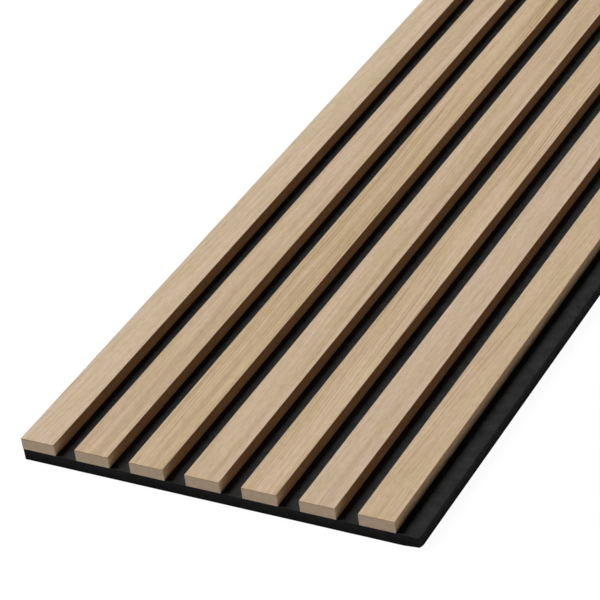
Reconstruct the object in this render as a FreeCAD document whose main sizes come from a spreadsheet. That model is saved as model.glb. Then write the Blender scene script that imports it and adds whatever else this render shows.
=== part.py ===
import FreeCAD, Part
import os
import Sketcher

# Acoustic slat wall panel, in millimetres. It lies on the back of its felt board, slats up:
# X across the slats, Y along them and Z through the thickness, with the origin at the middle
# of the board's back face.
SIZES = {
    "panel_length": 2400.0,
    "slat_count": 7,
    "slat_width": 26.0,
    "gap_width": 16.5,
    "core_height": 8.4,
    "veneer_thickness": 0.6,
    "veneer_edge_radius": 0.3,
    "felt_thickness": 9.0,
    "felt_corner_radius": 0.5,
    "felt_edge_radius": 0.4,
    "staple_crown": 12.8,
    "staple_bite": 5.0,
    "staple_bend": 0.4,
    "wire_width": 0.95,
    "wire_thickness": 0.65,
    "staple_spacing": 290.0,
    "staple_end_margin": 40.0,
}

# Lengths that follow from the driving sizes. The board reaches one gap past the last slat,
# so that the next panel goes on at the same pitch.
PITCH = "(Sizes.slat_width + Sizes.gap_width)"
BOARD_WIDTH = f"Sizes.slat_count * {PITCH}"
FIRST_SLAT_X = f"(Sizes.slat_width - {BOARD_WIDTH}) / 2"
VENEER_BASE = "Sizes.felt_thickness + Sizes.core_height"
STAPLE_HEIGHT = "(Sizes.felt_thickness + Sizes.staple_bite)"
STAPLES_PER_SLAT = (
    "(floor((Sizes.panel_length - 2 * Sizes.staple_end_margin) / Sizes.staple_spacing) + 1)"
)
FIRST_STAPLE_Y = f"(1 - {STAPLES_PER_SLAT}) * Sizes.staple_spacing / 2"

# An edge closer than this to a plane lies in it.
IN_PLANE = 1e-4

# A sketch's own numbers for a line's start and end points, and for the sketch's origin.
START = 1
END = START + 1
SKETCH_ORIGIN = -1


def make_sheet(doc):
    """Keep the driving sizes in a spreadsheet, each under its own alias."""
    sheet = doc.addObject("Spreadsheet::Sheet", "Sizes")
    for row, (name, value) in enumerate(SIZES.items(), start=1):
        sheet.set(f"A{row}", name)
        sheet.set(f"B{row}", str(value))
        sheet.setAlias(f"B{row}", name)
    doc.recompute()


def bind(thing, **expressions):
    """Tie an object's properties to expressions of the sheet."""
    for name, expression in expressions.items():
        thing.setExpression(name, expression)
    thing.Document.recompute()


def place(thing, across="0", along="0", up="0"):
    """Tie an object's position to expressions of the sheet."""
    for axis, expression in (("x", across), ("y", along), ("z", up)):
        thing.setExpression(f"Placement.Base.{axis}", expression)


def origin_feature(body, role):
    """Find one of a body's own planes or axes."""
    return next(item for item in body.Origin.OriginFeatures if item.Role == role)


def centred_rectangle(body, name, plane, width, height, shift="0"):
    """Draw a rectangle about the sketch's origin, or moved up along the sketch."""
    sketch = body.newObject("Sketcher::SketchObject", name)
    sketch.AttachmentSupport = [(origin_feature(body, plane), "")]
    sketch.MapMode = "FlatFace"
    corners = [FreeCAD.Vector(x, y, 0) for x, y in ((-1, -1), (1, -1), (1, 1), (-1, 1))]
    for start, end in zip(corners, corners[1:] + corners[:1]):
        sketch.addGeometry(Part.LineSegment(start, end), False)
    for line, direction in enumerate(("Horizontal", "Vertical", "Horizontal", "Vertical")):
        sketch.addConstraint(Sketcher.Constraint(direction, line))
        following = (line + 1) % len(corners)
        sketch.addConstraint(Sketcher.Constraint("Coincident", line, END, following, START))
    lower, right = 0, 1
    sketch.addConstraint(
        Sketcher.Constraint("Symmetric", lower, START, right, END, SKETCH_ORIGIN, START)
    )
    sides = (("DistanceX", lower, width), ("DistanceY", right, height))
    for kind, line, expression in sides:
        drawn = sketch.Geometry[line].length()
        number = sketch.addConstraint(
            Sketcher.Constraint(kind, line, START, line, END, drawn)
        )
        sketch.setExpression(f"Constraints[{number}]", expression)
    sketch.setExpression("AttachmentOffset.Base.y", shift)
    return sketch


def extrude(body, kind, name, sketch, length, side="One side"):
    """Raise a sketch to a solid (Pad), or cut it away (Pocket)."""
    feature = body.newObject(f"PartDesign::{kind}", name)
    feature.Profile = sketch
    feature.SideType = side
    bind(feature, Length=length)


def dress_edges(body, kind, name, chosen, **size):
    """Round (Fillet) or bevel (Chamfer) the edges of a body that a test chooses."""
    base = body.Tip
    numbered = enumerate(base.Shape.Edges, start=1)
    feature = body.newObject(f"PartDesign::{kind}", name)
    feature.Base = (base, [f"Edge{number}" for number, edge in numbered if chosen(edge)])
    bind(feature, **size)


def runs_along(edge, axis):
    """Tell whether an edge is straight along one axis."""
    box = edge.BoundBox
    return all(getattr(box, f"{other}Length") < IN_PLANE for other in "XYZ" if other != axis)


def is_lowest(body, edge):
    """Tell whether an edge lies in a body's underside."""
    return edge.BoundBox.ZMax < body.Shape.BoundBox.ZMin + IN_PLANE


def is_highest(body, edge):
    """Tell whether an edge lies in a body's upper side."""
    return edge.BoundBox.ZMin > body.Shape.BoundBox.ZMax - IN_PLANE


def drive_staples(doc, name, base, staples, label):
    """Make the staples' holes in a piece."""
    result = doc.addObject("Part::Cut", name)
    result.Base = base
    result.Tool = staples
    result.Refine = False
    result.Label = label
    return result


def slat_x(index):
    """The middle of one slat across the panel."""
    return f"{FIRST_SLAT_X} + {index} * {PITCH}"


def slat_strip(doc, name, thickness):
    """One flat strip, as wide and long as a slat."""
    body = doc.addObject("PartDesign::Body", name)
    outline = centred_rectangle(
        body, f"{name}Outline", "XY_Plane", "Sizes.slat_width", "Sizes.panel_length"
    )
    extrude(body, "Pad", f"{name}Strip", outline, thickness)
    return body


def make_staple_row(doc, index):
    """The wire staples of one slat, crowns flush with the board's back, legs in the slat."""
    number = index + 1
    body = doc.addObject("PartDesign::Body", f"StapleRow{number}")
    outline = centred_rectangle(
        body, f"StapleOutline{number}", "XZ_Plane", "Sizes.staple_crown", STAPLE_HEIGHT
    )
    extrude(body, "Pad", f"StapleBlock{number}", outline, "Sizes.wire_width", "Symmetric")
    inside = centred_rectangle(
        body, f"StapleInside{number}", "XZ_Plane",
        "Sizes.staple_crown - 2 * Sizes.wire_thickness", STAPLE_HEIGHT, "Sizes.wire_thickness",
    )
    extrude(body, "Pocket", f"StapleLegs{number}", inside, "2 * Sizes.wire_width", "Symmetric")
    dress_edges(
        body, "Chamfer", f"Bends{number}",
        lambda edge: runs_along(edge, "Y") and is_lowest(body, edge), Size="Sizes.staple_bend",
    )
    pattern = body.newObject("PartDesign::LinearPattern", f"StaplePattern{number}")
    pattern.TransformMode = "Whole shape"
    pattern.Direction = (origin_feature(body, "Y_Axis"), [""])
    pattern.Mode = "Spacing"
    bind(pattern, Offset="Sizes.staple_spacing", Occurrences=STAPLES_PER_SLAT)
    body.Tip = pattern
    place(body, across=slat_x(index), along=FIRST_STAPLE_Y, up=f"{STAPLE_HEIGHT} / 2")
    body.Label = f"slat_staples_{number}"
    return body


def make_felt(doc, staple_rows):
    """The felt board: eased upright corners, a soft lower edge and the staples' holes."""
    body = doc.addObject("PartDesign::Body", "FeltBoard")
    outline = centred_rectangle(
        body, "FeltOutline", "XY_Plane", BOARD_WIDTH, "Sizes.panel_length"
    )
    extrude(body, "Pad", "FeltSlab", outline, "Sizes.felt_thickness")
    dress_edges(
        body, "Fillet", "FeltCorners",
        lambda edge: runs_along(edge, "Z"), Radius="Sizes.felt_corner_radius",
    )
    dress_edges(
        body, "Fillet", "FeltLowerEdge",
        lambda edge: is_lowest(body, edge), Radius="Sizes.felt_edge_radius",
    )
    staples = doc.addObject("Part::Compound", "AllStaples")
    staples.Links = staple_rows
    return drive_staples(doc, "StapledFelt", body, staples, "felt_backing")


def make_core(doc, index, staples):
    """One fibreboard strip, with the holes of its own staples."""
    body = slat_strip(doc, f"Core{index + 1}", "Sizes.core_height")
    place(body, across=slat_x(index), up="Sizes.felt_thickness")
    return drive_staples(
        doc, f"StapledCore{index + 1}", body, staples, f"slat_core_{index + 1}"
    )


def make_veneer(doc, index):
    """One oak face veneer, its two long upper edges eased."""
    body = slat_strip(doc, f"Veneer{index + 1}", "Sizes.veneer_thickness")
    dress_edges(
        body, "Fillet", f"VeneerEdges{index + 1}",
        lambda edge: runs_along(edge, "Y") and is_highest(body, edge),
        Radius="Sizes.veneer_edge_radius",
    )
    place(body, across=slat_x(index), up=VENEER_BASE)
    body.Label = f"slat_veneer_{index + 1}"
    return body


def check(doc, pieces):
    """Stop if any object failed to build or any piece has no sound shape."""
    failed = [item.Name for item in doc.Objects if {"Invalid", "Error"} & set(item.State)]
    if failed:
        raise RuntimeError(f"not built: {failed}")
    for piece in pieces:
        if piece.Shape.isNull() or not piece.Shape.isValid():
            raise RuntimeError(f"{piece.Label} has no sound shape")


def export(pieces):
    """Write each piece to a file of its own name."""
    os.makedirs("parts", exist_ok=True)
    for piece in pieces:
        piece.Shape.exportStep(f"parts/{piece.Label}.step")
        print(f"{piece.Label}: {len(piece.Shape.Solids)} solids, {piece.Shape.Volume:.1f} mm3")


def main():
    doc = FreeCAD.newDocument("slat_wall_panel")
    make_sheet(doc)
    slats = range(int(doc.Sizes.slat_count))
    staple_rows = [make_staple_row(doc, index) for index in slats]
    cores = [make_core(doc, index, staple_rows[index]) for index in slats]
    veneers = [make_veneer(doc, index) for index in slats]
    pieces = [make_felt(doc, staple_rows), *cores, *veneers, *staple_rows]
    doc.recompute()
    check(doc, pieces)
    export(pieces)


main()
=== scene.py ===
import math
from collections import namedtuple

import bpy
from mathutils import Matrix, Vector


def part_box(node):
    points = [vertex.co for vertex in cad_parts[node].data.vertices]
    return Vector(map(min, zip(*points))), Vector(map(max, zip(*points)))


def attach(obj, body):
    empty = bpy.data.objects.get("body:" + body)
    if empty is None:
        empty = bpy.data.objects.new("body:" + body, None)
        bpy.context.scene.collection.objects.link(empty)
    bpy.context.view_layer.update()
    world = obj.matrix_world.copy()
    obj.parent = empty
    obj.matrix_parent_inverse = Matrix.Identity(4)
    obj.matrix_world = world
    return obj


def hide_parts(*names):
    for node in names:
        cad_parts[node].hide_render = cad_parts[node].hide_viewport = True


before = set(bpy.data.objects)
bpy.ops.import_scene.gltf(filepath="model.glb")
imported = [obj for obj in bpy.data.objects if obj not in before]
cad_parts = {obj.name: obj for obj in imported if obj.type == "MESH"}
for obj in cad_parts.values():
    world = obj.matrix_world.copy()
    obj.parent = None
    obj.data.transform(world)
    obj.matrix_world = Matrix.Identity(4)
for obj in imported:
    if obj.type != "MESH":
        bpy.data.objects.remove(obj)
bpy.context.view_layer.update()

# Acoustic slat wall panel, in metres, lying on its felt back with the slats up. X runs across
# the slats, Y along them and Z through the thickness.
SLATS = 7
BOARD_LOW, BOARD_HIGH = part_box("felt_backing")

# The camera looks down at the panel's near end, from its right.
VIEW_TARGET = Vector((-0.04169, -0.99367, 0.018))
VIEW_AZIMUTH = math.radians(31.7969)
VIEW_ELEVATION = math.radians(33.4392)
VIEW_ROLL = math.radians(-8.1468)
VIEW_DISTANCE = 1.9908
VIEW_LENS_MM = 168.2

# One large soft lamp stands to the left, a little towards the near end. On a level face its
# light adds up to pi, so that a colour shows there about as it is written.
LAMP_ELEVATION = math.radians(51)
LAMP_TOWARDS_NEAR_END = math.radians(4)
LAMP_SIZE = math.radians(31)
LEVEL_LIGHT = math.pi

# To the eye the floor is nearly all its own white glow, with a trace of the lamp's light and the
# panel's shadow. What it sends to the panel is a pale floor's light with a little lift.
FLOOR_SIZE = 60.0
FLOOR_DROP = 0.0002
FLOOR_TONE = (0.9, 0.9, 0.9, 1)
FLOOR_GLOW = 0.95
FLOOR_WHITE = 0.957
FLOOR_LIFT = 0.4

# The room is white to the eye and sends only this much light to the panel. The camera sees
# farther than the floor reaches.
ROOM_LIGHT = 0.02
WHITE = (1, 1, 1, 1)
SIGHT = 10 * FLOOR_SIZE

# An irregular pattern: its patches per metre along X, Y and Z, how much detail they hold, and
# where on its noise the pattern starts and is full. Nearly all of a noise lies between the two
# values that a pattern has unless it names others.
NOISE_STRETCH = (0.3, 0.7)
NOISE_MIDDLE = 0.5
Pattern = namedtuple("Pattern", "scale detail start end", defaults=NOISE_STRETCH)


def feed(tree, socket, value):
    """Give an input a link or a plain value."""
    if isinstance(value, bpy.types.NodeSocket):
        tree.links.new(value, socket)
    else:
        socket.default_value = value


def add_node(tree, kind, inputs, **settings):
    """Add a shader node, with its settings and what goes into it."""
    node = tree.nodes.new(f"ShaderNode{kind}")
    for name, value in settings.items():
        setattr(node, name, value)
    for name, value in inputs.items():
        feed(tree, node.inputs[name], value)
    return node


def calculate(tree, operation, first, *others):
    """Work out one number from others, in turn; with only one, the 0 beside it isn't read."""
    for other in others or (0.0,):
        first = add_node(tree, "Math", {0: first, 1: other}, operation=operation).outputs[0]
    return first


def weigh(tree, *parts):
    """Add up numbers, each times its own weight."""
    total = 0.0
    for value, weight in parts:
        inputs = {0: value, 1: weight, 2: total}
        total = add_node(tree, "Math", inputs, operation="MULTIPLY_ADD").outputs[0]
    return total


def rescale(tree, value, start, end, low=0.0, high=1.0):
    """Move a number from one range to another, and stop at its ends."""
    inputs = {"Value": value, "From Min": start, "From Max": end, "To Min": low, "To Max": high}
    return add_node(tree, "MapRange", inputs).outputs["Result"]


def blend_colours(tree, share, first, second, how="MIX"):
    """Lay the second colour over the first."""
    node = tree.nodes.new("ShaderNodeMix")
    node.data_type = "RGBA"
    node.blend_type = how
    colours = [socket for socket in node.inputs if socket.type == "RGBA"]
    feed(tree, node.inputs["Factor"], share)
    feed(tree, colours[0], first)
    feed(tree, colours[1], second)
    return next(socket for socket in node.outputs if socket.type == "RGBA")


def split_axes(tree, vector):
    """The X, Y and Z of a place or a direction."""
    return add_node(tree, "SeparateXYZ", {"Vector": vector}).outputs


def facing(tree, axis):
    """1 on faces that look along an axis, either way, and 0 on faces that lie along it."""
    normal = add_node(tree, "NewGeometry", {}).outputs["Normal"]
    return calculate(tree, "ABSOLUTE", split_axes(tree, normal)[axis])


def mottle(tree, place, pattern, shift=(0, 0, 0)):
    """The bare noise of a pattern, between 0 and 1."""
    mapped = add_node(
        tree, "Mapping", {"Vector": place, "Location": shift, "Scale": pattern.scale}
    )
    inputs = {"Vector": mapped.outputs["Vector"], "Scale": 1.0, "Detail": pattern.detail}
    return add_node(tree, "TexNoise", inputs).outputs["Fac"]


def spread(tree, place, pattern, shift=(0, 0, 0), low=0.0, high=1.0):
    """The patches of a pattern, between two values."""
    noise = mottle(tree, place, pattern, shift)
    return rescale(tree, noise, pattern.start, pattern.end, low, high)


def start_material(name):
    """A new material with its main shader, and the place on the piece that patterns read."""
    material = bpy.data.materials.new(name)
    material.use_nodes = True
    tree = material.node_tree
    shader = tree.nodes["Principled BSDF"]
    place = add_node(tree, "TexCoord", {}).outputs["Object"]
    return material, tree, shader, place


def set_surface(tree, shader, colour, roughness, height, depth):
    """Give a surface its colour, its roughness and its fine relief, in metres."""
    bump = add_node(tree, "Bump", {"Height": height, "Distance": depth, "Strength": 1.0})
    feed(tree, shader.inputs["Base Color"], colour)
    feed(tree, shader.inputs["Roughness"], roughness)
    feed(tree, shader.inputs["Normal"], bump.outputs["Normal"])


# How each face veneer was cut from its log, from the flush edge to the lip: where the log's heart
# lies beside and below the slat, how it climbs and leans along the slat, how strongly its growth
# rings, fine lines and broad bands show, how dark its vein is and where that runs, and its tone.
VENEER_CUTS = (
    {"beside": 0.03, "below": 0.04, "climb": 0.03, "lean": -0.05,
     "rings": 0.45, "lines": 0.35, "bands": 0.45, "vein": 0.3, "vein_at": 0.008,
     "tone": (0.614, 0.486, 0.355, 1)},
    {"beside": 0.026, "below": 0.06, "climb": 0.012, "lean": -0.02,
     "rings": 0.45, "lines": 0.4, "bands": 0.8, "vein": 1.0, "vein_at": 0.003,
     "tone": (0.598, 0.460, 0.334, 1)},
    {"beside": -0.095, "below": 0.03, "climb": 0.01, "lean": 0.012,
     "rings": 0.95, "lines": 0.85, "bands": 0.5, "vein": 1.0, "vein_at": 0.0035,
     "tone": (0.584, 0.444, 0.299, 1)},
    {"beside": 0.035, "below": 0.055, "climb": 0.014, "lean": 0.02,
     "rings": 0.45, "lines": 0.35, "bands": 0.5, "vein": 1.0, "vein_at": 0.0055,
     "tone": (0.588, 0.452, 0.321, 1)},
    {"beside": -0.06, "below": 0.035, "climb": 0.02, "lean": 0.015,
     "rings": 0.9, "lines": 0.75, "bands": 0.6, "vein": 0.3, "vein_at": -0.004,
     "tone": (0.600, 0.457, 0.322, 1)},
    {"beside": 0.006, "below": 0.05, "climb": 0.02, "lean": 0.01,
     "rings": 0.3, "lines": 0.25, "bands": 0.3, "vein": 0.5, "vein_at": 0.006,
     "tone": (0.576, 0.446, 0.330, 1)},
    {"beside": 0.07, "below": 0.03, "climb": 0.016, "lean": -0.03,
     "rings": 0.6, "lines": 0.5, "bands": 0.3, "vein": 0.15, "vein_at": 0.0,
     "tone": (0.577, 0.439, 0.302, 1)},
)

# The patterns of each cut start this much further on than those of the cut before it.
CUT_SHIFT = (7.3, 3.1, 0.0)

# How the grain drifts from side to side, and how wide, wavy and strong the growth rings are. Each
# ring's dark first wood fades fast, most rings are faint, and all come and go along the slat.
DRIFT = Pattern((14, 3.4, 14), 2.0, 0.0, 1.0)
GRAIN_DRIFT = 0.006
RING_WIDTH = 0.0024
WOBBLE = Pattern((130, 7, 130), 2.0, 0.0, 1.0)
RING_WOBBLE = 0.0022
RING_FADE_POWER = 3.0
FEW_STRONG_RINGS_POWER = 2.0
FAINTEST_RING = 0.15
RING_FADING = Pattern((110, 9, 110), 2.0, 0.38, 0.62)
FADED_RING = 0.1

# The dark vein's width, and how far it wanders from its line.
VEIN_HALF_WIDTH = 0.0045
VEIN_WANDER = 0.002
WANDERING = Pattern((1, 5, 1), 3.0)

# The other marks in the wood. Fine lines gather in patches, and pores lie mostly in first wood.
BANDS = Pattern((85, 2.4, 85), 4.0, 0.40, 0.66)
LINES = Pattern((900, 4, 900), 2.0, 0.53, 0.62)
LINE_PATCHES = Pattern((75, 6, 75), 2.0, 0.42, 0.60)
SPARSE_LINES = 0.2
STREAKS = Pattern((380, 13, 380), 4.0, 0.40, 0.70)
FIBRES = Pattern((1700, 40, 1700), 2.0, 0.42, 0.66)
FLECKS = Pattern((380, 160, 380), 3.0, 0.35, 0.65)
PORES = Pattern((5200, 170, 5200), 1.0, 0.60, 0.70)
FULL_FIRST_WOOD = 0.6
PORE_SHARES = (0.1, 0.8)
BLUSH = Pattern((90, 22, 90), 3.0)

# What each mark does to the wood's own tone, and the veneer's darker sides and ends.
RING_SHADE = (0.74, 0.69, 0.56, 1)
BAND_SHADE = (0.84, 0.81, 0.71, 1)
VEIN_SHADE = (0.86, 0.845, 0.80, 1)
LINE_SHADE = (0.64, 0.57, 0.43, 1)
STREAK_SHADE = (0.92, 0.91, 0.88, 1)
FIBRE_SHADE = (0.915, 0.90, 0.86, 1)
FLECK_SHADE = (0.92, 0.915, 0.89, 1)
PORE_SHADE = (0.66, 0.58, 0.48, 1)
ROSY_CAST = (1.04, 1.0, 1.045, 1)
YELLOW_CAST = (0.975, 0.98, 0.905, 1)
VENEER_END_SHADE = (0.53, 0.447, 0.34, 1)
VENEER_SIDE_SHADE = (0.86, 0.695, 0.44, 1)

# The oiled surface, and how much of its relief is fibres and how much pores.
VENEER_ROUGHNESS = (0.52, 0.62)
VENEER_GLOSS = 0.3
PORE_DEPTH = 0.00006
FIBRE_RELIEF = 0.25
PORE_RELIEF = 0.75


def along_grain(tree, place, cut, shift):
    """Places that follow the grain's own lean and drift from side to side along the slat."""
    lean = calculate(tree, "MULTIPLY", split_axes(tree, place)["Y"], cut["lean"])
    drift = spread(tree, place, DRIFT, shift, -GRAIN_DRIFT, GRAIN_DRIFT)
    offset = add_node(tree, "CombineXYZ", {"X": calculate(tree, "ADD", lean, drift)})
    moved = add_node(tree, "VectorMath", {0: place, 1: offset.outputs[0]}, operation="ADD")
    return moved.outputs[0]


def growth_rings(tree, grain, cut, middle_x, shift):
    """The dark first wood of each growth ring, strong in some rings and faint in others."""
    axes = split_axes(tree, grain)
    beside = calculate(tree, "SUBTRACT", axes["X"], middle_x + cut["beside"])
    climb = calculate(tree, "MULTIPLY", axes["Y"], cut["climb"])
    below = calculate(tree, "ADD", climb, cut["below"])
    offset = add_node(tree, "CombineXYZ", {"X": beside, "Z": below}).outputs["Vector"]
    radius = add_node(tree, "VectorMath", {0: offset}, operation="LENGTH").outputs["Value"]
    wobble = spread(tree, grain, WOBBLE, shift, 0.0, RING_WOBBLE)
    ring = calculate(tree, "DIVIDE", calculate(tree, "ADD", radius, wobble), RING_WIDTH)
    before_end = calculate(tree, "SUBTRACT", 1.0, calculate(tree, "FRACT", ring))
    first_wood = calculate(tree, "POWER", before_end, RING_FADE_POWER)
    number = calculate(tree, "FLOOR", ring)
    chance = add_node(tree, "TexWhiteNoise", {"W": number}, noise_dimensions="1D").outputs[0]
    chance = calculate(tree, "POWER", chance, FEW_STRONG_RINGS_POWER)
    strength = calculate(tree, "ADD", chance, FAINTEST_RING)
    fading = spread(tree, grain, RING_FADING, shift, FADED_RING, 1.0)
    return first_wood, calculate(tree, "MULTIPLY", strength, fading)


def dark_vein(tree, place, cut, middle_x, shift):
    """A soft darker vein that wanders along the slat."""
    wander = spread(tree, place, WANDERING, shift, -VEIN_WANDER, VEIN_WANDER)
    across = calculate(tree, "ADD", split_axes(tree, place)["X"], wander)
    beside = calculate(tree, "SUBTRACT", across, middle_x + cut["vein_at"])
    distance = calculate(tree, "ABSOLUTE", beside)
    return rescale(tree, distance, VEIN_HALF_WIDTH, 0.0, 0.0, cut["vein"])


def oak_veneer(number, cut, middle_x):
    """Pale oiled oak: growth rings, soft bands, streaks, fine fibres and open pores."""
    material, tree, shader, place = start_material(f"oak_veneer_{number}")
    shift = [step * number for step in CUT_SHIFT]
    grain = along_grain(tree, place, cut, shift)
    first_wood, strength = growth_rings(tree, grain, cut, middle_x, shift)
    rings = calculate(tree, "MULTIPLY", first_wood, strength, cut["rings"])
    bands = spread(tree, grain, BANDS, shift, 0.0, cut["bands"])
    vein = dark_vein(tree, place, cut, middle_x, shift)
    lines = spread(tree, grain, LINES, shift)
    patches = spread(tree, grain, LINE_PATCHES, shift, SPARSE_LINES, 1.0)
    lines = calculate(tree, "MULTIPLY", lines, patches, cut["lines"])
    streaks, fibres, flecks, pores, blush = (
        spread(tree, grain, pattern, shift)
        for pattern in (STREAKS, FIBRES, FLECKS, PORES, BLUSH)
    )
    open_pores = rescale(tree, first_wood, 0.0, FULL_FIRST_WOOD, *PORE_SHARES)
    pores = calculate(tree, "MULTIPLY", pores, open_pores)
    warmth = blend_colours(tree, blush, ROSY_CAST, YELLOW_CAST)
    colour = blend_colours(tree, 1.0, cut["tone"], warmth, "MULTIPLY")
    for share, shade in (
        (flecks, FLECK_SHADE),
        (bands, BAND_SHADE),
        (vein, VEIN_SHADE),
        (rings, RING_SHADE),
        (streaks, STREAK_SHADE),
        (lines, LINE_SHADE),
        (fibres, FIBRE_SHADE),
        (pores, PORE_SHADE),
        (facing(tree, "X"), VENEER_SIDE_SHADE),
        (facing(tree, "Y"), VENEER_END_SHADE),
    ):
        colour = blend_colours(tree, share, colour, shade, "MULTIPLY")
    roughness = rescale(tree, fibres, 0.0, 1.0, *VENEER_ROUGHNESS)
    sunk = weigh(tree, (fibres, FIBRE_RELIEF), (pores, PORE_RELIEF))
    height = calculate(tree, "SUBTRACT", 1.0, sunk)
    set_surface(tree, shader, colour, roughness, height, PORE_DEPTH)
    feed(tree, shader.inputs["Specular IOR Level"], VENEER_GLOSS)
    return material


# The fibreboard's tones on its sides and ends, and painted shade at the foot of its sides, which
# darkens them over their lowest few millimetres beside the felt. Specks, clouds and saw marks each
# darken or lighten it between two shades.
CORE_TONE = (0.505, 0.340, 0.201, 1)
CORE_END_TONE = (0.376, 0.284, 0.2005, 1)
CORE_FOOT_PAINTED_SHADE = (0.76, 0.84, 0.98, 1)
CORE_PAINTED_SHADE_HEIGHT = 0.003
SPECKS = Pattern((1500, 900, 1500), 3.0)
SPECK_SHADES = (0.81, 1.15)
CORE_CLOUDS = Pattern((260, 40, 260), 2.0)
CORE_CLOUD_SHADES = (0.93, 1.07)
SAW_MARKS = Pattern((12, 12, 2400), 1.0)
SAW_SHADES = (0.96, 1.04)
CORE_ROUGHNESS = (0.8, 0.92)
CORE_GLOSS = 0.05
CORE_RELIEF = 0.00008


def fibreboard():
    """Plain fibreboard: pressed wood fibres, the saw's faint marks and painted shade at the foot
    of its sides.
    """
    material, tree, shader, place = start_material("core_fibreboard")
    height = split_axes(tree, place)["Z"]
    # Painted shade: the sides are darkened over their lowest few millimetres, next to the felt.
    painted_foot_shade = rescale(tree, height, BOARD_HIGH.z + CORE_PAINTED_SHADE_HEIGHT, BOARD_HIGH.z)
    side = blend_colours(tree, painted_foot_shade, CORE_TONE, CORE_FOOT_PAINTED_SHADE, "MULTIPLY")
    colour = blend_colours(tree, facing(tree, "Y"), side, CORE_END_TONE)
    specks, clouds, saw = (
        mottle(tree, place, pattern) for pattern in (SPECKS, CORE_CLOUDS, SAW_MARKS)
    )
    for noise, shades in (
        (specks, SPECK_SHADES), (clouds, CORE_CLOUD_SHADES), (saw, SAW_SHADES),
    ):
        shade = rescale(tree, noise, *NOISE_STRETCH, *shades)
        colour = blend_colours(tree, 1.0, colour, shade, "MULTIPLY")
    roughness = rescale(tree, specks, *NOISE_STRETCH, *CORE_ROUGHNESS)
    relief = calculate(tree, "ADD", specks, saw)
    set_surface(tree, shader, colour, roughness, relief, CORE_RELIEF)
    feed(tree, shader.inputs["Specular IOR Level"], CORE_GLOSS)
    return material


# The felt's darkest and lightest tones, and how much of the way fibres, clouds and grit go
# between them. Two layers of fibres lie over each other; a fibre runs where its noise comes this
# close to the middle.
FELT_DARK = (0.0215, 0.0215, 0.022, 1)
FELT_LIGHT = (0.086, 0.086, 0.087, 1)
FELT_FIBRES = (
    {"pattern": Pattern((700, 700, 700), 2.0), "shift": (0, 0, 0), "closeness": 0.035},
    {"pattern": Pattern((1100, 1100, 1100), 2.0), "shift": (5, 2, 9), "closeness": 0.03},
)
FELT_FIBRE_SHARE = 0.35
FELT_CLOUDS = Pattern((120, 120, 120), 3.0)
FELT_CLOUD_SHARE = 0.25
GRIT = Pattern((3000, 3000, 3000), 1.0)
GRIT_SHARE = 0.25

# The board's edges are darker than its faces. Its ends are painted darker than its sides, as
# painted shade on the ends and painted light on the sides, and its edges carry painted shade
# that darkens them towards the underside and painted light that lightens them towards the top.
# Felt that looks this squarely up or down is face, and felt that does so this little is edge.
FELT_END_PAINTED_SHADE = (0.335, 0.335, 0.335, 1)
FELT_SIDE_PAINTED_SHADE = (0.67, 0.67, 0.67, 1)
FELT_EDGE_PAINTED_SHADING = (0.75, 1.3)
FELT_FACE_FROM = 0.9
FELT_EDGE_FROM = 0.3
FELT_ROUGHNESS = 0.95
FELT_GLOSS = 0.0
FELT_RELIEF = 0.00025


def tangled_fibres(tree, place, pattern, shift, closeness):
    """Thin crooked fibres, which run where a noise passes its middle."""
    noise = mottle(tree, place, pattern, shift)
    beside = calculate(tree, "ABSOLUTE", calculate(tree, "SUBTRACT", noise, NOISE_MIDDLE))
    return rescale(tree, beside, closeness, 0.0)


def charcoal_felt():
    """Pressed polyester felt: tangled fibres, soft clouds and dark edges, with painted shade
    towards the underside and painted light towards the top.
    """
    material, tree, shader, place = start_material("charcoal_felt")
    layers = (tangled_fibres(tree, place, **layer) for layer in FELT_FIBRES)
    fibres = calculate(tree, "MAXIMUM", *layers)
    clouds = spread(tree, place, FELT_CLOUDS)
    grit = spread(tree, place, GRIT)
    lightness = weigh(
        tree, (fibres, FELT_FIBRE_SHARE), (clouds, FELT_CLOUD_SHARE), (grit, GRIT_SHARE)
    )
    colour = blend_colours(tree, lightness, FELT_DARK, FELT_LIGHT)
    height = split_axes(tree, place)["Z"]
    # Painted shade and light: the edges are darkened towards the underside and lightened towards
    # the top.
    tone = rescale(tree, height, BOARD_LOW.z, BOARD_HIGH.z, *FELT_EDGE_PAINTED_SHADING)
    # Painted shade on the ends and painted light on the sides: the ends are darker than the sides.
    edge = blend_colours(tree, facing(tree, "Y"), FELT_SIDE_PAINTED_SHADE, FELT_END_PAINTED_SHADE)
    edge = blend_colours(tree, 1.0, edge, tone, "MULTIPLY")
    at_painted_edge = rescale(tree, facing(tree, "Z"), FELT_FACE_FROM, FELT_EDGE_FROM)
    colour = blend_colours(tree, at_painted_edge, colour, edge, "MULTIPLY")
    relief = calculate(tree, "ADD", fibres, grit)
    set_surface(tree, shader, colour, FELT_ROUGHNESS, relief, FELT_RELIEF)
    feed(tree, shader.inputs["Specular IOR Level"], FELT_GLOSS)
    return material


WIRE_DULL = (0.52, 0.52, 0.53, 1)
WIRE_BRIGHT = (0.68, 0.68, 0.67, 1)
WIRE_PATCHES = Pattern((700, 700, 700), 2.0)
DRAWING_MARKS = Pattern((900, 9000, 9000), 2.0)
WIRE_ROUGHNESS = (0.28, 0.42)
WIRE_RELIEF = 0.00002


def galvanised_wire():
    """Bright galvanised staple wire, with fine drawing marks and dull patches."""
    material, tree, shader, place = start_material("galvanised_wire")
    marks = mottle(tree, place, DRAWING_MARKS)
    colour = blend_colours(tree, spread(tree, place, WIRE_PATCHES), WIRE_DULL, WIRE_BRIGHT)
    roughness = rescale(tree, marks, *NOISE_STRETCH, *WIRE_ROUGHNESS)
    set_surface(tree, shader, colour, roughness, marks, WIRE_RELIEF)
    feed(tree, shader.inputs["Metallic"], 1.0)
    return material


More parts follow.
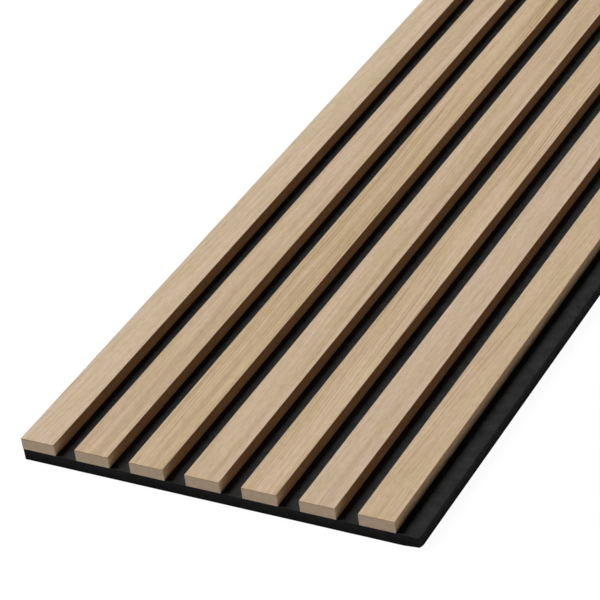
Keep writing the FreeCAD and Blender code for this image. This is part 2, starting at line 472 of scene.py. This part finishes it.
# The felt board's own shape: eased edges, dents where the staples pull it in, a slight swelling
# between the slats that rises over a share of half a slat's width, the free lip's lower corners
# worn round, and an uneven skin. An edge this close to the top or the underside lies in it.
CORNER_EASE = 0.0005
LOWER_EASE = 0.0003
UPPER_EASE = 0.0003
EASE_STEPS = 3
IN_PLANE = 0.0003
STAPLE_SPACING = 0.29
STAPLES_PER_SLAT = 9
STAPLE_HALF_CROWN = 0.0064
DENT_REACH = 0.007
DENT_DEPTH = 0.00045
SWELLING = 0.00025
SWELLING_SLOPE = 1 / 3
WORN_REACH_ALONG_END = 0.013
WORN_REACH_ALONG_SIDE = 0.0045
WORN_DEPTH = 0.001
TUCK_REACH = 0.0035
TUCK_DEPTH = 0.0005
UNEVENNESS = 0.0001
UNEVEN_PATCH = 0.012
SMOOTH_BELOW = math.radians(40)

# Where the board is cut to take this shape: at shares of the way from a slat's edge to the
# middle of the gap, at that middle, at steps from the board's edges, at plain steps along it, and
# finely in a patch round each staple. Only faces that look straight down belong to the flat
# back, and the patches leave faces beside them with more than the plain number of sides.
GAP_CUTS = (0.0, 0.25, 0.6)
EDGE_STEPS = (0.002, 0.0045, 0.008, 0.014)
PLAIN_STEP = 0.05
DENT_PATCH = 0.008
DENT_CUTS = 9
FLAT_BACK = -0.99
PLAIN_SIDES = 4


def ease_edges(board, chosen, radius):
    """Round the board's edges that a test on their two ends picks."""
    bpy.ops.mesh.select_all(action="DESELECT")
    bpy.ops.object.mode_set(mode="OBJECT")
    for edge in board.data.edges:
        ends = (board.data.vertices[index].co for index in edge.vertices)
        edge.select = chosen(*ends)
    bpy.ops.object.mode_set(mode="EDIT")
    bpy.ops.mesh.bevel(offset=radius, segments=EASE_STEPS, affect="EDGES")


def slat_middles():
    """The middle of each slat across the panel."""
    boxes = [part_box(f"slat_core_{number}") for number in range(1, SLATS + 1)]
    return [(low.x + high.x) / 2 for low, high in boxes]


def staple_lines():
    """The places of the staples along the panel."""
    middle = (STAPLES_PER_SLAT - 1) / 2
    return [(number - middle) * STAPLE_SPACING for number in range(STAPLES_PER_SLAT)]


def from_staple(point, middles):
    """How far a point lies from the nearest staple's middle, across and along the panel."""
    across = min(abs(point.x - middle) for middle in middles)
    along = min(abs(point.y - line) for line in staple_lines())
    return across, along


def is_near_staple(point, middles):
    """Tell whether a point of the board lies in the patch round a staple."""
    across, along = from_staple(point, middles)
    return across < STAPLE_HALF_CROWN + DENT_PATCH and along < DENT_PATCH


def cut_board(middles, half_slat):
    """Cut the board's faces where its swellings, worn corners and patches need points."""
    half_gap = (middles[1] - middles[0]) / 2 - half_slat
    reaches = [half_slat + share * half_gap for share in GAP_CUTS]
    across = [
        middle + side * reach for middle in middles for side in (-1, 1) for reach in reaches
    ]
    across += [middle + half_slat + half_gap for middle in middles]
    across += [BOARD_LOW.x + step for step in EDGE_STEPS]
    across += [BOARD_HIGH.x - step for step in EDGE_STEPS]
    along = [line + side * DENT_PATCH for line in staple_lines() for side in (-1, 1)]
    along += [BOARD_LOW.y + step for step in EDGE_STEPS]
    along += [BOARD_HIGH.y - step for step in EDGE_STEPS]
    plain = round((BOARD_HIGH.y - BOARD_LOW.y) / PLAIN_STEP)
    along += [BOARD_LOW.y + PLAIN_STEP * step for step in range(1, plain)]
    cuts = [((x, 0, 0), (1, 0, 0)) for x in across if BOARD_LOW.x < x < BOARD_HIGH.x]
    cuts += [((0, y, 0), (0, 1, 0)) for y in along]
    for point, direction in cuts:
        bpy.ops.mesh.select_all(action="SELECT")
        bpy.ops.mesh.bisect(plane_co=point, plane_no=direction)


def cut_dent_patches(board, middles):
    """Cut the flat back finely round the staples, and split the faces that border on that."""
    bpy.ops.mesh.select_mode(type="FACE")
    bpy.ops.mesh.select_all(action="DESELECT")
    bpy.ops.object.mode_set(mode="OBJECT")
    for face in board.data.polygons:
        face.select = face.normal.z < FLAT_BACK and is_near_staple(face.center, middles)
    bpy.ops.object.mode_set(mode="EDIT")
    bpy.ops.mesh.subdivide(number_cuts=DENT_CUTS)
    bpy.ops.mesh.select_all(action="DESELECT")
    bpy.ops.mesh.select_face_by_sides(number=PLAIN_SIDES, type="GREATER")
    bpy.ops.mesh.quads_convert_to_tris(ngon_method="BEAUTY")


def nearness(distance, reach):
    """1 at a place and 0 a reach away from it, with a soft slope between."""
    share = max(0.0, 1.0 - distance / reach)
    return share * share * (3 - 2 * share)


def dent_share(point, middles):
    """How far a point of the board's back is pulled in by the nearest staple."""
    across, along = from_staple(point, middles)
    beside = max(0.0, across - STAPLE_HALF_CROWN)
    return nearness(math.hypot(beside, along), DENT_REACH)


def swelling_share(point, middles, half_slat):
    """How far a point of the board's face swells, clear of the slats that press on it."""
    clear = min(abs(point.x - middle) for middle in middles) - half_slat
    ends = min(point.y - BOARD_LOW.y, BOARD_HIGH.y - point.y, BOARD_HIGH.x - point.x)
    slope = half_slat * SWELLING_SLOPE
    return (1 - nearness(clear, slope)) * (1 - nearness(ends, slope))


def lip_corner_share(point, along_end, along_side):
    """How near a point is to a corner of the free lip, within a reach along end and side."""
    to_side = BOARD_HIGH.x - point.x
    to_end = min(point.y - BOARD_LOW.y, BOARD_HIGH.y - point.y)
    return nearness(math.hypot(to_side / along_end, to_end / along_side), 1.0)


def push(board, name, points, share, depth, axis="Z"):
    """Move points of the board along an axis, each by its own share of a depth."""
    group = board.vertex_groups.new(name=name)
    for index, point in points:
        group.add([index], share(point), "REPLACE")
    displace = board.modifiers.new(name, "DISPLACE")
    displace.direction = axis
    displace.mid_level = 0.0
    displace.strength = depth
    displace.vertex_group = name
    bpy.ops.object.modifier_apply(modifier=name)
    board.vertex_groups.clear()


def shape_board(board, middles, half_slat):
    """Dent, wear and swell the board's faces."""
    middle_z = (BOARD_LOW.z + BOARD_HIGH.z) / 2
    points = [(vertex.index, vertex.co.copy()) for vertex in board.data.vertices]
    under = [(index, point) for index, point in points if point.z < middle_z]
    over = [(index, point) for index, point in points if point.z > middle_z]
    push(board, "dents", under, lambda point: dent_share(point, middles), DENT_DEPTH)
    push(
        board, "wear", under,
        lambda point: lip_corner_share(point, WORN_REACH_ALONG_END, WORN_REACH_ALONG_SIDE),
        WORN_DEPTH,
    )
    push(
        board, "tuck", under,
        lambda point: lip_corner_share(point, TUCK_REACH, TUCK_REACH), -TUCK_DEPTH, "X",
    )
    push(
        board, "swelling", over,
        lambda point: swelling_share(point, middles, half_slat), SWELLING,
    )


def roughen_skin(board):
    """Make the board's skin slightly uneven."""
    skin = bpy.data.textures.new("felt_skin", "CLOUDS")
    skin.noise_scale = UNEVEN_PATCH
    uneven = board.modifiers.new("unevenness", "DISPLACE")
    uneven.texture = skin
    uneven.texture_coords = "LOCAL"
    uneven.mid_level = 1.0
    uneven.strength = UNEVENNESS
    bpy.ops.object.modifier_apply(modifier=uneven.name)


def make_felt_board(material):
    """The felt board, eased at its edges, pulled in by its staples and swollen between slats."""
    size = BOARD_HIGH - BOARD_LOW
    bpy.ops.mesh.primitive_cube_add(size=1, location=(BOARD_LOW + BOARD_HIGH) / 2)
    board = bpy.context.object
    board.name = "felt_board"
    board.scale = size
    bpy.ops.object.transform_apply(location=True, rotation=False, scale=True)
    bpy.ops.object.mode_set(mode="EDIT")
    bpy.ops.mesh.select_mode(type="EDGE")
    ease_edges(board, lambda start, end: abs(start.z - end.z) > size.z / 2, CORNER_EASE)
    ease_edges(board, lambda start, end: max(start.z, end.z) < BOARD_LOW.z + IN_PLANE, LOWER_EASE)
    ease_edges(board, lambda start, end: min(start.z, end.z) > BOARD_HIGH.z - IN_PLANE, UPPER_EASE)
    middles = slat_middles()
    low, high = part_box("slat_core_1")
    half_slat = (high.x - low.x) / 2
    cut_board(middles, half_slat)
    cut_dent_patches(board, middles)
    bpy.ops.object.mode_set(mode="OBJECT")
    shape_board(board, middles, half_slat)
    roughen_skin(board)
    bpy.ops.object.shade_smooth_by_angle(angle=SMOOTH_BELOW)
    board.data.materials.append(material)
    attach(board, "root")
    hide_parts("felt_backing")
    bpy.ops.object.select_all(action="DESELECT")


def dress(name, material):
    """Give a piece of the panel its finish."""
    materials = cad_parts[name].data.materials
    materials.clear()
    materials.append(material)


def dress_panel():
    """Finish every piece, from the felt board up."""
    felt, core, wire = charcoal_felt(), fibreboard(), galvanised_wire()
    make_felt_board(felt)
    for number, cut in enumerate(VENEER_CUTS, start=1):
        low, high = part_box(f"slat_veneer_{number}")
        dress(f"slat_core_{number}", core)
        dress(f"slat_veneer_{number}", oak_veneer(number, cut, (low.x + high.x) / 2))
        dress(f"slat_staples_{number}", wire)


def seen_directly(tree):
    """1 for what the camera sees, also by reflection or through glass, and 0 for other light."""
    rays = add_node(tree, "LightPath", {}).outputs
    ways = ("Is Camera Ray", "Is Glossy Ray", "Is Transmission Ray")
    return calculate(tree, "MAXIMUM", *(rays[way] for way in ways))


def lay_floor():
    """A plain pale floor, which keeps the panel's shadow and hides nothing from below."""
    bpy.ops.mesh.primitive_plane_add(size=FLOOR_SIZE, location=(0, 0, -FLOOR_DROP))
    floor = bpy.context.object
    floor.name = "floor"
    material = bpy.data.materials.new("pale_floor")
    material.use_nodes = True
    tree = material.node_tree
    tree.nodes.clear()
    seen = seen_directly(tree)
    matt = add_node(tree, "BsdfDiffuse", {"Color": FLOOR_TONE}).outputs["BSDF"]
    share = calculate(tree, "MULTIPLY", seen, FLOOR_GLOW)
    matt = add_node(tree, "MixShader", {0: share, 1: matt}).outputs["Shader"]
    brightness = rescale(tree, seen, 0.0, 1.0, FLOOR_LIFT, FLOOR_WHITE)
    glow = add_node(tree, "Emission", {"Color": WHITE, "Strength": brightness}).outputs["Emission"]
    lit = add_node(tree, "AddShader", {0: matt, 1: glow}).outputs["Shader"]
    from_below = add_node(tree, "NewGeometry", {}).outputs["Backfacing"]
    clear = add_node(tree, "BsdfTransparent", {}).outputs["BSDF"]
    mixed = add_node(tree, "MixShader", {0: from_below, 1: lit, 2: clear}).outputs["Shader"]
    add_node(tree, "OutputMaterial", {"Surface": mixed})
    floor.data.materials.append(material)


def light_room():
    """White all round to the eye, and one soft lamp that lights the panel."""
    world = bpy.data.worlds.new("white_room")
    world.use_nodes = True
    tree = world.node_tree
    background = tree.nodes["Background"]
    feed(tree, background.inputs["Color"], WHITE)
    brightness = rescale(tree, seen_directly(tree), 0.0, 1.0, ROOM_LIGHT, 1.0)
    feed(tree, background.inputs["Strength"], brightness)
    bpy.context.scene.world = world
    lamp = bpy.data.objects.new("soft_lamp", bpy.data.lights.new("soft_lamp", "SUN"))
    bpy.context.scene.collection.objects.link(lamp)
    lamp.data.angle = LAMP_SIZE
    lamp.data.energy = LEVEL_LIGHT / math.sin(LAMP_ELEVATION)
    level = math.cos(LAMP_ELEVATION)
    to_lamp = Vector((
        -math.cos(LAMP_TOWARDS_NEAR_END) * level,
        -math.sin(LAMP_TOWARDS_NEAR_END) * level,
        math.sin(LAMP_ELEVATION),
    ))
    lamp.matrix_world = to_lamp.to_track_quat("Z", "Y").to_matrix().to_4x4()


def set_camera():
    """Stand the camera at its distance from the target, looking at it and rolled a little."""
    level = math.cos(VIEW_ELEVATION)
    back = Vector((
        math.sin(VIEW_AZIMUTH) * level, -math.cos(VIEW_AZIMUTH) * level, math.sin(VIEW_ELEVATION)
    ))
    right = Vector((math.cos(VIEW_AZIMUTH), math.sin(VIEW_AZIMUTH), 0))
    upright = Matrix((right, back.cross(right), back)).transposed()
    camera = bpy.data.objects.new("camera", bpy.data.cameras.new("camera"))
    bpy.context.scene.collection.objects.link(camera)
    camera.data.lens = VIEW_LENS_MM
    camera.data.clip_end = SIGHT
    turned = upright @ Matrix.Rotation(VIEW_ROLL, 3, "Z")
    camera.matrix_world = (
        Matrix.Translation(VIEW_TARGET + back * VIEW_DISTANCE) @ turned.to_4x4()
    )
    bpy.context.scene.camera = camera


bpy.ops.object.select_all(action="DESELECT")
dress_panel()
lay_floor()
light_room()
set_camera()
bpy.context.scene.view_settings.view_transform = "Standard"
